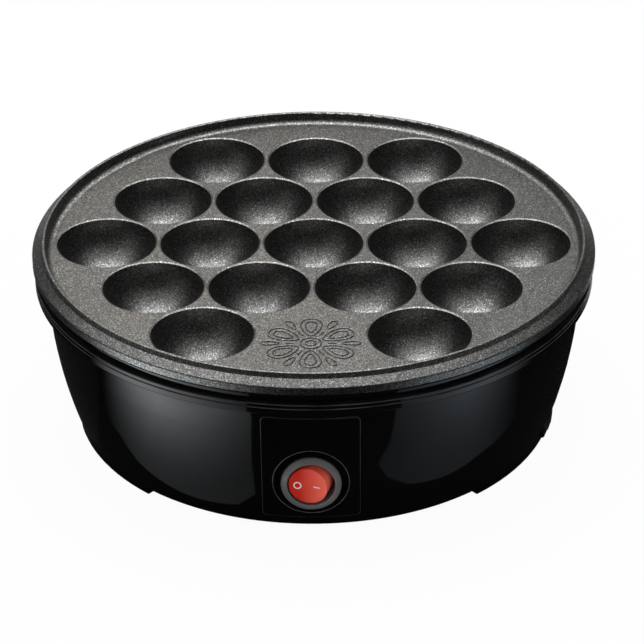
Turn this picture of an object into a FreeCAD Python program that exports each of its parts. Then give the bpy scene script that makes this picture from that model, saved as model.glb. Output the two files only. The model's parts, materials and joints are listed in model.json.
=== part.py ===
import FreeCAD, Part
import math
import os

from FreeCAD import Vector

# Electric takoyaki maker: a round die-cast plate with eighteen half-round wells, set in a
# black moulded base that holds the heating element, and a round rocker switch at the front.
# Frame: +Z up, origin on the table under the centre of the plate, front towards -Y. Millimetres.

# ---- driving dimensions ------------------------------------------------------------------

# heights, from the table up
FOOT_HEIGHT = 2.8  # the wall's bottom edge above the table, between the feet
WALL_HEIGHT = 58.7  # bottom edge to the underside of the lip
LIP_HEIGHT = 3.2
RING_HEIGHT = 5.9
SEAT_RISE = 0.4  # the plate's seat above the ring's outer edge, which leaves a shadow line
WEB_THICKNESS = 3.0  # the plate between its wells
RIM_RISE = 4.5  # the plate's crest above its flat

# cooking plate
WELL_MOUTH_RADIUS = 20.0
WELL_WEB = 1.694  # the flat between two wells' mouths
WELL_ROWS = (3, 4, 5, 4, 3)  # wells in each row, back to front; the front row's middle one is a plain flat
WELL_DEPTH = 18.0
WELL_LIP_WIDTH = 0.65  # shallow chamfer round each well's mouth
WELL_LIP_DEPTH = 0.28
WELL_BOSS_TOP_RADIUS = 21.4  # the outside of a well under the web
WELL_BOSS_FOOT_RADIUS = 14.4
WELL_BOSS_DEPTH = 21.0  # from the flat to the flat foot that the heating element warms
RIM_WIDTH = 9.612  # from the outermost wells' mouths to the plate's edge
RIM_COVE = 3.0  # radius of the cove between the flat and the rim's inner wall
CREST_INNER_INSET = 5.4  # these three from the plate's edge inwards
CREST_OUTER_INSET = 3.9
SHELF_INNER_INSET = 3.4
SHELF_INNER_RISE = 2.45  # above the flat
SHELF_OUTER_RISE = 0.2
CREST_ROUNDING = 0.7
PLATE_EDGE_ROUNDING = 0.6
PLATE_ROUNDING = 0.4
PLATE_RIB_WIDTH = 2.4  # ring under the web that centres the plate in its seat
PLATE_RIB_DEPTH = 2.0

# support ring
RING_SETBACK = 0.7  # the ring's outside behind the plate's edge
SEAT_SETBACK = 1.6  # the seat's outer edge behind the ring's outside
SEAT_WIDTH = 2.8
LEDGE_WIDTH = 2.6  # the ledge inside the seat that the reflector's flange lies on
LEDGE_DEPTH = 3.5  # from the seat down to the ledge
RING_BAND_HEIGHT = 1.6  # the plain band above the housing, below the dark groove round the ring
RING_GROOVE_HEIGHT = 3.5
RING_GROOVE_DEPTH = 2.2
RING_EDGE_ROUNDING = 0.35
TONGUE_SETBACK = 3.6  # tongue on the housing's lip that centres the ring, behind the ring's outside
TONGUE_WIDTH = 1.2
TONGUE_HEIGHT = 1.2

# housing
LIP_OVERHANG = 4.65  # the lip beyond the wall, which stands upright at the lip's top
WALL_ARC_RADIUS = 188.5  # the wall curves inwards below that height on this radius
WALL_THICKNESS = 2.5
WALL_FOOT_ROUNDING = 1.3
LIP_BOTTOM_ROUNDING = 0.8
LIP_TOP_ROUNDING = 0.5
FOOT_ANGLES = (31.0, 149.0, 211.0, 329.0)
FOOT_SWEEP = 34.0  # the stretch of the wall's edge that each foot carries down
FOOT_DEPTH = 7.0  # radially, inwards from the inside of the wall's bottom edge
FOOT_ROUNDING = 0.8
FOOT_SEAM = 0.05  # the foot's outside behind the wall's, where the two meet
FOOT_TAB_SWEEP = 16.0
FOOT_TAB_DEPTH = 12.0  # screw tab, inwards from the foot
FOOT_TAB_HEIGHT = 6.0
PAD_HEIGHT = 1.2
PAD_RECESS = 0.9
PAD_MARGIN = 1.5

# control panel, let into the front of the wall
PANEL_WIDTH = 38.6
PANEL_BOTTOM = 7.0
PANEL_TOP = 57.8
PANEL_CORNER = 2.2
PANEL_THICKNESS = 1.3
PANEL_LEDGE = 2.5  # width of the step in the wall that carries the panel's edge
PANEL_GAP = 0.25
PANEL_ROUNDING = 0.35  # the panel's edge, the mouth of its pocket and the edge of the wall round it

# switch pocket in the panel: an oblique cone, deeper at the top
SWITCH_HEIGHT = 23.5
SEAT_DEPTH = 8.45  # the pocket's floor behind the wall's top radius
POCKET_FLOOR_RADIUS = 13.4
POCKET_MOUTH_RADIUS = 16.0
POCKET_DEPTH = 7.8
POCKET_MOUTH_RAISE = 3.3
POCKET_WALL = 1.6
PANEL_ROOM = 20.0  # how far in from the wall the pocket may reach

# round rocker switch
BEZEL_RADIUS = 11.75
BEZEL_EDGE = 0.9
BEZEL_HEIGHT = 2.2
BARREL_RADIUS = 9.9
BARREL_LENGTH = 14.0
SWITCH_BORE_RADIUS = 9.2
SWITCH_BORE_DEPTH = 9.0
PIVOT_DEPTH = 2.8  # the rocker's axis behind the seat plane
PIVOT_RADIUS = 1.2
LATCH_REACH = 1.0  # the two wedges that hold the barrel behind the pocket's floor
LATCH_ROOT = 0.3
LATCH_LENGTH = 4.9
LATCH_WIDTH = 4.0
LATCH_GAP = 0.1
SWITCH_ROUNDING = 0.5
BEZEL_INNER_ROUNDING = 0.4
ROCKER_FACE_RADIUS = 7.6
ROCKER_BACK_RADIUS = 8.3
ROCKER_FRONT = 6.2  # from the axis to the face
ROCKER_BACK = 2.5
ROCKER_DISH_RADIUS = 32.0  # the face is hollowed by a cylinder
ROCKER_DISH_DEPTH = 0.7
ROCKER_ROUNDING = 0.5
ROCKER_TILT = 12.5  # each way from the middle; it rests tilted to the left
TERMINAL_WIDTH = 4.8
TERMINAL_THICKNESS = 0.8
TERMINAL_LENGTH = 8.0
TERMINAL_PITCH = 5.5

# heating element
HEATER_RADIUS = 58.0
HEATER_TUBE_RADIUS = 3.3
HEATER_GAP = 0.3  # under the wells' feet
HEATER_OPENING = 17.0  # degrees each side of the back, where its ends turn down
HEATER_BEND = 8.0
HEATER_LEG_END = 27.0
HEATER_PIN_RADIUS = 1.6
HEATER_PIN_LENGTH = 8.0
HANGER_ANGLES = (30.0, 150.0, 270.0)
HANGER_THICKNESS = 1.0
HANGER_WIDTH = 14.0
HANGER_FOOT = 10.0
HANGER_MOUTH = 0.6  # the leaf's top lies this far under the tube's top, so the tube snaps in
HANGER_ROUNDING = 3.0
HANGER_SCREW_OFFSET = 6.0
BUSH_WALL = 1.6  # ceramic bushes round the element's ends
BUSH_FLANGE = 1.8
BUSH_FLANGE_HEIGHT = 2.0
BUSH_DEPTH = 3.0
BUSH_ROUNDING = 0.5

# reflector dish
DISH_THICKNESS = 0.8
DISH_FLANGE_GAP = 0.2
DISH_THROAT_INSET = 1.1  # behind the ring's inside
DISH_WAIST_INSET = 5.6  # behind the throat
DISH_WAIST_RISE = 0.5  # above the wells' feet
DISH_FLOOR_INSET = 18.5  # behind the throat
DISH_ROUNDING = 6.0
DISH_FLOOR_HEIGHT = 36.0

# bottom cover
COVER_HEIGHT = 3.2
COVER_THICKNESS = 2.5
COVER_GAP = 0.4
PILLAR_RADIUS = 4.0
PILLAR_CIRCLE = 36.0
PILLAR_ANGLES = (90.0, 210.0, 330.0)
VENT_WIDTH = 3.0
VENT_LENGTH = 26.0
VENT_PITCH = 8.0
VENT_COUNT = 7
VENT_OFFSET = 8.0  # each row's near ends from the middle

# thermostat, fuse, terminal block, cord outlet
THERMOSTAT_RADIUS = 8.5
THERMOSTAT_HEIGHT = 7.0
THERMOSTAT_CAP_HEIGHT = 2.0
THERMOSTAT_TAB_OFFSET = 4.5
THERMOSTAT_TAB_LENGTH = 6.0
THERMOSTAT_TAB_WIDTH = 3.2
THERMOSTAT_TAB_THICKNESS = 0.8
THERMOSTAT_CAP_REACH = 1.0  # the cap beyond the case
THERMOSTAT_ROUNDING = 0.6
THERMOSTAT_HOLE_INSET = 2.0  # the dish's hole under the thermostat, inside its cap
SPRING_STRIP_WIDTH = 9.0
SPRING_STRIP_THICKNESS = 0.6
SPRING_STRIP_REACH = 24.0
SPRING_STRIP_FOOT = 7.0
SPRING_STRIP_MARGIN = 2.0  # the strip's flat middle beyond the thermostat
SPRING_STRIP_BEND = 1.5
SPRING_STRIP_SCREW_INSET = 3.0
SPRING_WINDOW = (6.0, 12.4)  # the strip's window, which the thermostat's tabs pass
FUSE_RADIUS = 2.2
FUSE_LENGTH = 14.0
FUSE_CENTRE = (28.0, -44.0)
FUSE_GAP = 0.3
CLIP_GAP = 0.1
CLIP_THICKNESS = 0.8
CLIP_LENGTH = 5.0
CLIP_WING = 8.0
BLOCK_SIZE = (20.0, 14.0, 12.0)
BLOCK_CENTRE = (62.0, -16.0)
BLOCK_SHOULDER_HEIGHT = 7.2
BLOCK_WELL_RADIUS = 2.2
BLOCK_WELL_DEPTH = 3.0
BLOCK_SCREW_RADIUS = 1.9
BLOCK_SCREW_HEIGHT = 1.6
BLOCK_SCREW_SLOT = 0.6
GLAND_ANGLE = -16.35  # the cord outlet's axis runs outwards at this angle about Z
GLAND_HEIGHT = 8.6
GLAND_BOSS_RADIUS = 9.0  # round boss whose upright face stands out of the wall's foot
GLAND_BOSS_RISE = 1.5  # its face beyond the wall's foot
GLAND_BOSS_DEPTH = 6.0
GLAND_BOSS_ROUNDING = 0.8
GLAND_RECESS = 1.0  # the bush's flange is sunk this far in the boss
GLAND_FLANGE_RADIUS = 5.6
GLAND_FLANGE_THICKNESS = 1.4
GLAND_NECK_RADIUS = 4.6
GLAND_BORE_RADIUS = 3.4
GLAND_BEAD_RADIUS = 5.5
GLAND_BEAD_LENGTH = 1.6
GLAND_ROUNDING = 0.5
LEAD_RADIUS = 1.2
LEAD_BEND = 3.0
LEAD_LEVEL = 18.0
LEAD_SPACING = 2.8

# screws
SCREW_RADIUS = 1.5
SCREW_HEAD_RADIUS = 2.9
SCREW_HEAD_HEIGHT = 1.8
SCREW_LENGTH = 8.0
SHORT_SCREW_LENGTH = 4.0
SCREW_HEAD_ROUNDING = 1.08
SCREW_SLOT_WIDTH = 0.8
SCREW_SLOT_DEPTH = 0.7
SCREW_CLEARANCE = 0.2  # radial, in the piece that the screw passes
CLEARANCE = 0.3  # between pieces that move apart or slide past each other
PIVOT_CLEARANCE = 0.05
OVERSHOOT = 1.0  # cutting shapes run this far past what they cut
FRONT = 270.0  # the front's angle about Z

# ---- derived -----------------------------------------------------------------------------

WELL_PITCH = 2 * WELL_MOUTH_RADIUS + WELL_WEB
PLATE_RADIUS = (max(WELL_ROWS) - 1) / 2 * WELL_PITCH + WELL_MOUTH_RADIUS + RIM_WIDTH
CREST_INNER_RADIUS = PLATE_RADIUS - CREST_INNER_INSET
CREST_OUTER_RADIUS = PLATE_RADIUS - CREST_OUTER_INSET
SHELF_INNER_RADIUS = PLATE_RADIUS - SHELF_INNER_INSET
RING_OUTER_RADIUS = PLATE_RADIUS - RING_SETBACK
SEAT_OUTER_RADIUS = RING_OUTER_RADIUS - SEAT_SETBACK
SEAT_INNER_RADIUS = SEAT_OUTER_RADIUS - SEAT_WIDTH
RING_INNER_RADIUS = SEAT_INNER_RADIUS - LEDGE_WIDTH
TONGUE_RADIUS = RING_OUTER_RADIUS - TONGUE_SETBACK
LIP_RADIUS = RING_OUTER_RADIUS
WALL_TOP_RADIUS = LIP_RADIUS - LIP_OVERHANG
SEAT_PLANE = WALL_TOP_RADIUS - SEAT_DEPTH
POCKET_MOUTH_PLANE = SEAT_PLANE + POCKET_DEPTH
DISH_FLANGE_RADIUS = SEAT_INNER_RADIUS - DISH_FLANGE_GAP
DISH_THROAT_RADIUS = RING_INNER_RADIUS - DISH_THROAT_INSET
DISH_WAIST_RADIUS = DISH_THROAT_RADIUS - DISH_WAIST_INSET
DISH_FLOOR_RADIUS = DISH_THROAT_RADIUS - DISH_FLOOR_INSET
LIP_BOTTOM = FOOT_HEIGHT + WALL_HEIGHT
LIP_TOP = LIP_BOTTOM + LIP_HEIGHT
RING_TOP = LIP_TOP + RING_HEIGHT
SEAT_HEIGHT = RING_TOP + SEAT_RISE
FLAT_HEIGHT = SEAT_HEIGHT + WEB_THICKNESS
CREST_HEIGHT = FLAT_HEIGHT + RIM_RISE
LEDGE_HEIGHT = SEAT_HEIGHT - LEDGE_DEPTH
WELL_RADIUS = (WELL_MOUTH_RADIUS**2 + WELL_DEPTH**2) / (2 * WELL_DEPTH)
WELL_CENTRE_HEIGHT = FLAT_HEIGHT - WELL_DEPTH + WELL_RADIUS
WELL_FOOT_HEIGHT = FLAT_HEIGHT - WELL_BOSS_DEPTH
DISH_WAIST_HEIGHT = WELL_FOOT_HEIGHT + DISH_WAIST_RISE
HEATER_HEIGHT = WELL_FOOT_HEIGHT - HEATER_GAP - HEATER_TUBE_RADIUS
DISH_FLOOR_TOP = DISH_FLOOR_HEIGHT + DISH_THICKNESS
COVER_TOP = COVER_HEIGHT + COVER_THICKNESS
UP = Vector(0, 0, 1)
ORIGIN = Vector(0, 0, 0)


# ---- helpers -----------------------------------------------------------------------------


def polar(radius, degrees, height=0.0):
    """The point at a radius and an angle about Z, counted from +X."""
    angle = math.radians(degrees)
    return Vector(radius * math.cos(angle), radius * math.sin(angle), height)


def corner_arc(before, corner, after, radius):
    """The two ends and the middle of the arc that rounds a corner of an outline."""
    one = (before - corner).normalize()
    other = (after - corner).normalize()
    half = one.getAngle(other) / 2
    reach = radius / math.tan(half)
    inward = (one + other).normalize()
    centre = corner + inward * (radius / math.sin(half))
    return corner + one * reach, centre - inward * radius, corner + other * reach


def outline(corners):
    """A closed face in the XZ plane from (x, z) or (x, z, rounding) corners."""
    points = [Vector(c[0], 0, c[1]) for c in corners]
    radii = [c[2] if len(c) > 2 else 0 for c in corners]
    spans = []
    for i, point in enumerate(points):
        if radii[i]:
            spans.append(corner_arc(points[i - 1], point, points[(i + 1) % len(points)], radii[i]))
        else:
            spans.append((point, None, point))
    edges = []
    for i, (start, middle, end) in enumerate(spans):
        if middle:
            edges.append(Part.Arc(start, middle, end).toShape())
        following = spans[(i + 1) % len(spans)][0]
        if end.distanceToPoint(following) > 1e-6:
            edges.append(Part.LineSegment(end, following).toShape())
    return Part.Face(Part.Wire(edges))


def turned(corners):
    """The solid that an outline makes when it is turned about Z."""
    return outline(corners).revolve(ORIGIN, UP, 360)


def disc(radius, bottom, top, centre=(0, 0)):
    return Part.makeCylinder(radius, top - bottom, Vector(centre[0], centre[1], bottom))


def block(x, y, z):
    """A box from (low, high) pairs along each axis."""
    return Part.makeBox(x[1] - x[0], y[1] - y[0], z[1] - z[0], Vector(x[0], y[0], z[0]))


def sector(inner, outer, bottom, top, middle, sweep):
    """A block between two radii, swept through an angle about Z."""
    face = outline([(inner, bottom), (outer, bottom), (outer, top), (inner, top)])
    solid = face.revolve(ORIGIN, UP, sweep)
    solid.rotate(ORIGIN, UP, middle - sweep / 2)
    return solid


def joined(shapes):
    return shapes[0].multiFuse(shapes[1:]).removeSplitter()


def rim_edge(shape, radius, height):
    """The round edge about Z at a radius and a height."""
    for edge in shape.Edges:
        box = edge.BoundBox
        if box.ZLength < 1e-4 and abs(box.ZMax - height) < 1e-4 and abs(box.XMax - radius) < 1e-4:
            return edge
    raise ValueError("no edge at radius %.2f and height %.2f" % (radius, height))


def facing_front(shape, height, plane):
    """Turns a shape made about +Z to face the front (-Y), with its origin on the given plane."""
    shape.rotate(ORIGIN, Vector(1, 0, 0), 90)
    shape.translate(Vector(0, -plane, height))
    return shape


def wall_radius(height, inset=0.0):
    """The wall's radius at a height, on its outside or so far inside it."""
    radius = WALL_ARC_RADIUS - inset
    return WALL_TOP_RADIUS - WALL_ARC_RADIUS + math.sqrt(radius**2 - (LIP_TOP - height) ** 2)


WALL_FOOT_RADIUS = wall_radius(FOOT_HEIGHT)
FOOT_INNER_RADIUS = WALL_FOOT_RADIUS - WALL_THICKNESS - FOOT_DEPTH
GLAND_FACE = WALL_FOOT_RADIUS + GLAND_BOSS_RISE


def wall_edge(low, high, inset):
    """The wall's arc between two heights, at an inset from its outside."""
    middle = (low + high) / 2
    points = [Vector(wall_radius(z, inset), 0, z) for z in (low, middle, high)]
    return Part.Arc(*points).toShape()


def front_band(outer_inset, inner_inset):
    """A layer of the wall's front between two insets, wide enough for the panel."""
    sweep = 2 * math.degrees(math.asin(PANEL_WIDTH / WALL_FOOT_RADIUS))
    outer = wall_edge(FOOT_HEIGHT, LIP_BOTTOM, outer_inset)
    inner = wall_edge(FOOT_HEIGHT, LIP_BOTTOM, inner_inset)
    bottom = Part.LineSegment(inner.Vertexes[0].Point, outer.Vertexes[0].Point).toShape()
    top = Part.LineSegment(outer.Vertexes[-1].Point, inner.Vertexes[-1].Point).toShape()
    face = Part.Face(Part.Wire(Part.__sortEdges__([outer, top, inner, bottom])))
    solid = face.revolve(ORIGIN, UP, sweep)
    solid.rotate(ORIGIN, UP, FRONT - sweep / 2)
    return solid


def panel_window(inset, corner):
    """The panel's outline less an inset, as a solid that runs forwards through the wall."""
    half = PANEL_WIDTH / 2 - inset
    low, high = PANEL_BOTTOM + inset, PANEL_TOP - inset
    face = outline([(-half, low, corner), (half, low, corner), (half, high, corner), (-half, high, corner)])
    face.translate(Vector(0, -WALL_TOP_RADIUS / 2, 0))
    return face.extrude(Vector(0, -WALL_TOP_RADIUS, 0))


def panel_edges(shape):
    """The edges in the wall's outer surface, within the panel's outline."""
    half = PANEL_WIDTH / 2 + PANEL_GAP
    found = []
    for edge in shape.Edges:
        start, end = edge.ParameterRange
        points = [edge.valueAt(start + (end - start) * share) for share in (0, 0.25, 0.5, 0.75, 1)]
        on_wall = all(p.y < 0 and abs(math.hypot(p.x, p.y) - wall_radius(p.z)) < 2e-3 for p in points)
        if on_wall and all(abs(p.x) < half and p.z > PANEL_BOTTOM - PANEL_GAP for p in points):
            found.append(edge)
    return found


def screw(point, direction=UP, length=SCREW_LENGTH):
    """A pan-head screw whose head seats at the point and whose shank runs against the direction."""
    head = turned(
        [
            (0, 0),
            (SCREW_HEAD_RADIUS, 0),
            (SCREW_HEAD_RADIUS, SCREW_HEAD_HEIGHT, SCREW_HEAD_ROUNDING),
            (0, SCREW_HEAD_HEIGHT),
        ]
    )
    across = (-SCREW_HEAD_RADIUS, SCREW_HEAD_RADIUS)
    narrow = (-SCREW_SLOT_WIDTH / 2, SCREW_SLOT_WIDTH / 2)
    deep = (SCREW_HEAD_HEIGHT - SCREW_SLOT_DEPTH, SCREW_HEAD_HEIGHT)
    slots = [block(across, narrow, deep), block(narrow, across, deep)]
    solid = head.fuse(disc(SCREW_RADIUS, -length, 0)).cut(slots).removeSplitter()
    solid.Placement = FreeCAD.Placement(point, FreeCAD.Rotation(UP, direction))
    return solid


def short_screws(points):
    return Part.makeCompound([screw(point, length=SHORT_SCREW_LENGTH) for point in points])


def tube(points, radius, bend):
    """A round bar along straight runs joined by arcs of one bend radius."""
    edges = []
    start = points[0]
    for before, corner, after in zip(points, points[1:], points[2:]):
        one, middle, other = corner_arc(before, corner, after, bend)
        edges.append(Part.LineSegment(start, one).toShape())
        edges.append(Part.Arc(one, middle, other).toShape())
        start = other
    edges.append(Part.LineSegment(start, points[-1]).toShape())
    return swept(edges, radius)


def swept(edges, radius):
    """A round bar along a path of tangent edges."""
    path = Part.Wire(edges)
    first = path.Edges[0]
    start = first.valueAt(first.FirstParameter)
    heading = first.tangentAt(first.FirstParameter)
    section = Part.Wire(Part.makeCircle(radius, start, heading))
    return path.makePipeShell([section], True, True)


# ---- cooking plate -----------------------------------------------------------------------


def well_centres():
    """The wells' centres: rows of a hexagonal grid, less the one in the middle of the front row."""
    row_pitch = WELL_PITCH * math.sin(math.radians(60))
    middle_row = (len(WELL_ROWS) - 1) / 2
    centres = []
    for row, count in enumerate(WELL_ROWS):
        for column in range(count):
            across = (column - (count - 1) / 2) * WELL_PITCH
            if row == len(WELL_ROWS) - 1 and across == 0:
                continue
            centres.append((across, (middle_row - row) * row_pitch))
    return centres


def well_tool():
    """What one well takes out of the plate: a half ball with a shallow chamfer at its mouth."""
    ball = Part.makeSphere(WELL_RADIUS, Vector(0, 0, WELL_CENTRE_HEIGHT))
    below = disc(WELL_RADIUS, FLAT_HEIGHT - WELL_DEPTH - OVERSHOOT, FLAT_HEIGHT)
    low = FLAT_HEIGHT - WELL_LIP_DEPTH
    low_radius = math.sqrt(WELL_RADIUS**2 - (WELL_CENTRE_HEIGHT - low) ** 2)
    mouth = turned(
        [
            (0, low),
            (low_radius, low),
            (WELL_MOUTH_RADIUS + WELL_LIP_WIDTH, FLAT_HEIGHT),
            (WELL_MOUTH_RADIUS + WELL_LIP_WIDTH, FLAT_HEIGHT + OVERSHOOT),
            (0, FLAT_HEIGHT + OVERSHOOT),
        ]
    )
    return ball.common(below).fuse(mouth)


def cooking_plate():
    """The cast plate: flat, raised rim, sloping shelf, wells, and the ring that centres it."""
    web_bottom = SEAT_HEIGHT
    rib_outer = SEAT_INNER_RADIUS - CLEARANCE
    body = turned(
        [
            (0, web_bottom),
            (rib_outer - PLATE_RIB_WIDTH, web_bottom),
            (rib_outer - PLATE_RIB_WIDTH, web_bottom - PLATE_RIB_DEPTH),
            (rib_outer, web_bottom - PLATE_RIB_DEPTH, PLATE_ROUNDING),
            (rib_outer, web_bottom),
            (PLATE_RADIUS, web_bottom, PLATE_ROUNDING),
            (PLATE_RADIUS, FLAT_HEIGHT + SHELF_OUTER_RISE, PLATE_EDGE_ROUNDING),
            (SHELF_INNER_RADIUS, FLAT_HEIGHT + SHELF_INNER_RISE, PLATE_ROUNDING),
            (CREST_OUTER_RADIUS, CREST_HEIGHT, CREST_ROUNDING),
            (CREST_INNER_RADIUS, CREST_HEIGHT, CREST_ROUNDING),
            (CREST_INNER_RADIUS, FLAT_HEIGHT, RIM_COVE),
            (0, FLAT_HEIGHT),
        ]
    )
    boss = Part.makeCone(
        WELL_BOSS_FOOT_RADIUS,
        WELL_BOSS_TOP_RADIUS,
        web_bottom - WELL_FOOT_HEIGHT,
        Vector(0, 0, WELL_FOOT_HEIGHT),
    )
    bosses = [boss.translated(Vector(x, y, 0)) for x, y in well_centres()]
    wells = [well_tool().translated(Vector(x, y, 0)) for x, y in well_centres()]
    return body.multiFuse(bosses).cut(wells)


# ---- base shells -------------------------------------------------------------------------


def support_ring():
    """The ring between plate and housing: seat, reflector ledge, groove outside, tongue's groove below."""
    groove_inner = TONGUE_RADIUS - TONGUE_WIDTH / 2 - CLEARANCE / 2
    groove_outer = TONGUE_RADIUS + TONGUE_WIDTH / 2 + CLEARANCE / 2
    groove_top = LIP_TOP + TONGUE_HEIGHT + CLEARANCE
    band_top = LIP_TOP + RING_BAND_HEIGHT
    collar_bottom = band_top + RING_GROOVE_HEIGHT
    waist_radius = RING_OUTER_RADIUS - RING_GROOVE_DEPTH
    return turned(
        [
            (RING_INNER_RADIUS, LIP_TOP),
            (groove_inner, LIP_TOP),
            (groove_inner, groove_top),
            (groove_outer, groove_top),
            (groove_outer, LIP_TOP),
            (RING_OUTER_RADIUS, LIP_TOP, RING_EDGE_ROUNDING),
            (RING_OUTER_RADIUS, band_top, RING_EDGE_ROUNDING),
            (waist_radius, band_top),
            (waist_radius, collar_bottom),
            (RING_OUTER_RADIUS, collar_bottom),
            (RING_OUTER_RADIUS, RING_TOP, RING_EDGE_ROUNDING),
            (SEAT_OUTER_RADIUS, RING_TOP),
            (SEAT_OUTER_RADIUS, SEAT_HEIGHT),
            (SEAT_INNER_RADIUS, SEAT_HEIGHT),
            (SEAT_INNER_RADIUS, LEDGE_HEIGHT),
            (RING_INNER_RADIUS, LEDGE_HEIGHT),
        ]
    )


def foot(middle):
    """A foot: the wall's edge carried down, with the tab that the bottom cover is screwed to."""
    sole = PAD_HEIGHT - PAD_RECESS
    flush_height = FOOT_HEIGHT + WALL_FOOT_ROUNDING
    flush_radius = wall_radius(flush_height) - FOOT_SEAM
    profile = outline(
        [
            (FOOT_INNER_RADIUS, sole),
            (WALL_FOOT_RADIUS, sole, FOOT_ROUNDING),
            (flush_radius, flush_height),
            (flush_radius, COVER_TOP),
            (FOOT_INNER_RADIUS, COVER_TOP),
        ]
    )
    leg = profile.revolve(ORIGIN, UP, FOOT_SWEEP)
    leg.rotate(ORIGIN, UP, middle - FOOT_SWEEP / 2)
    tab_inner = FOOT_INNER_RADIUS - FOOT_TAB_DEPTH
    tab_outer = WALL_FOOT_RADIUS - WALL_FOOT_ROUNDING
    tab = sector(tab_inner, tab_outer, COVER_TOP, COVER_TOP + FOOT_TAB_HEIGHT, middle, FOOT_TAB_SWEEP)
    return leg.fuse(tab).removeSplitter().cut(foot_pad(middle, CLEARANCE / 2))


def foot_pad(middle, clearance=0.0):
    """The rubber pad let into a foot; the clearance widens it into its own recess."""
    margin = PAD_MARGIN - clearance
    inner = FOOT_INNER_RADIUS + margin
    outer = WALL_FOOT_RADIUS - WALL_FOOT_ROUNDING - margin
    trim = 2 * math.degrees(margin / outer)
    return sector(inner, outer, 0, PAD_HEIGHT, middle, FOOT_SWEEP - trim)


def cover_screw_points():
    radius = FOOT_INNER_RADIUS - FOOT_TAB_DEPTH / 2
    return [polar(radius, angle, COVER_HEIGHT) for angle in FOOT_ANGLES]


def gland_axis(shape):
    """Turns a shape made about +Z outwards along the cord outlet, its origin in the boss's face."""
    shape.rotate(ORIGIN, Vector(0, 1, 0), 90)
    shape.translate(Vector(GLAND_FACE, 0, GLAND_HEIGHT))
    shape.rotate(ORIGIN, UP, GLAND_ANGLE)
    return shape


def gland_boss():
    """The boss round the cord outlet, cut off level with the wall's bottom edge."""
    back = -GLAND_BOSS_DEPTH
    profile = [(0, back), (GLAND_BOSS_RADIUS, back), (GLAND_BOSS_RADIUS, 0, GLAND_BOSS_ROUNDING), (0, 0)]
    return gland_axis(turned(profile)).common(disc(PLATE_RADIUS, FOOT_HEIGHT, LIP_BOTTOM))


def housing():
    """The moulded wall: barrel-shaped, with a lip on top, four feet and the panel's opening."""
    outer = wall_edge(FOOT_HEIGHT, LIP_BOTTOM, 0)
    inner = wall_edge(FOOT_HEIGHT, LIP_TOP, WALL_THICKNESS)
    tongue_inner = TONGUE_RADIUS - TONGUE_WIDTH / 2
    tongue_outer = TONGUE_RADIUS + TONGUE_WIDTH / 2
    lip_corners = [
        outer.Vertexes[-1].Point,
        Vector(LIP_RADIUS, 0, LIP_BOTTOM),
        Vector(LIP_RADIUS, 0, LIP_TOP),
        Vector(tongue_outer, 0, LIP_TOP),
        Vector(tongue_outer, 0, LIP_TOP + TONGUE_HEIGHT),
        Vector(tongue_inner, 0, LIP_TOP + TONGUE_HEIGHT),
        Vector(tongue_inner, 0, LIP_TOP),
        inner.Vertexes[-1].Point,
    ]
    lip = Part.makePolygon(lip_corners)
    sill = Part.LineSegment(inner.Vertexes[0].Point, outer.Vertexes[0].Point).toShape()
    profile = Part.Face(Part.Wire(Part.__sortEdges__([outer] + lip.Edges + [inner, sill])))
    wall = profile.revolve(ORIGIN, UP, 360)
    for radius, height, rounding in (
        (WALL_FOOT_RADIUS, FOOT_HEIGHT, WALL_FOOT_ROUNDING),
        (LIP_RADIUS, LIP_BOTTOM, LIP_BOTTOM_ROUNDING),
        (LIP_RADIUS, LIP_TOP, LIP_TOP_ROUNDING),
    ):
        wall = wall.makeFillet(rounding, [rim_edge(wall, radius, height)])
    feet = [foot(angle) for angle in FOOT_ANGLES]
    solid = joined([wall, gland_boss()] + feet)
    pilots = [
        disc(SCREW_RADIUS, COVER_HEIGHT, COVER_HEIGHT + SCREW_LENGTH + CLEARANCE, (p.x, p.y))
        for p in cover_screw_points()
    ]
    neck = gland_axis(disc(GLAND_NECK_RADIUS + CLEARANCE, -GLAND_BOSS_DEPTH - OVERSHOOT, 0))
    flange_room = gland_axis(disc(GLAND_FLANGE_RADIUS + CLEARANCE, -GLAND_RECESS, GLAND_BOSS_DEPTH))
    past_foot = FOOT_INNER_RADIUS - GLAND_FACE - OVERSHOOT
    bead_room = gland_axis(disc(GLAND_BEAD_RADIUS + CLEARANCE, past_foot, -GLAND_BOSS_DEPTH))
    rebate = front_band(-OVERSHOOT, PANEL_THICKNESS).common(panel_window(0, PANEL_CORNER))
    through = panel_window(PANEL_LEDGE, PANEL_CORNER)
    solid = solid.cut(pilots + [neck, flange_room, bead_room, rebate, through])
    return solid.makeFillet(PANEL_ROUNDING, panel_edges(solid))


def pocket_cone(grow, floor_plane):
    """The oblique cone of the switch's pocket, grown outwards by a wall."""
    slope = (POCKET_MOUTH_RADIUS - POCKET_FLOOR_RADIUS) / (POCKET_MOUTH_PLANE - SEAT_PLANE)
    rise = POCKET_MOUTH_RAISE / (POCKET_MOUTH_PLANE - SEAT_PLANE)
    rings = []
    for plane in (floor_plane, POCKET_MOUTH_PLANE + OVERSHOOT):
        ahead = plane - SEAT_PLANE
        centre = Vector(0, -plane, SWITCH_HEIGHT + rise * ahead)
        radius = POCKET_FLOOR_RADIUS + slope * ahead + grow
        rings.append(Part.Wire(Part.makeCircle(radius, centre, Vector(0, -1, 0))))
    return Part.makeLoft(rings, True, True)


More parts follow.
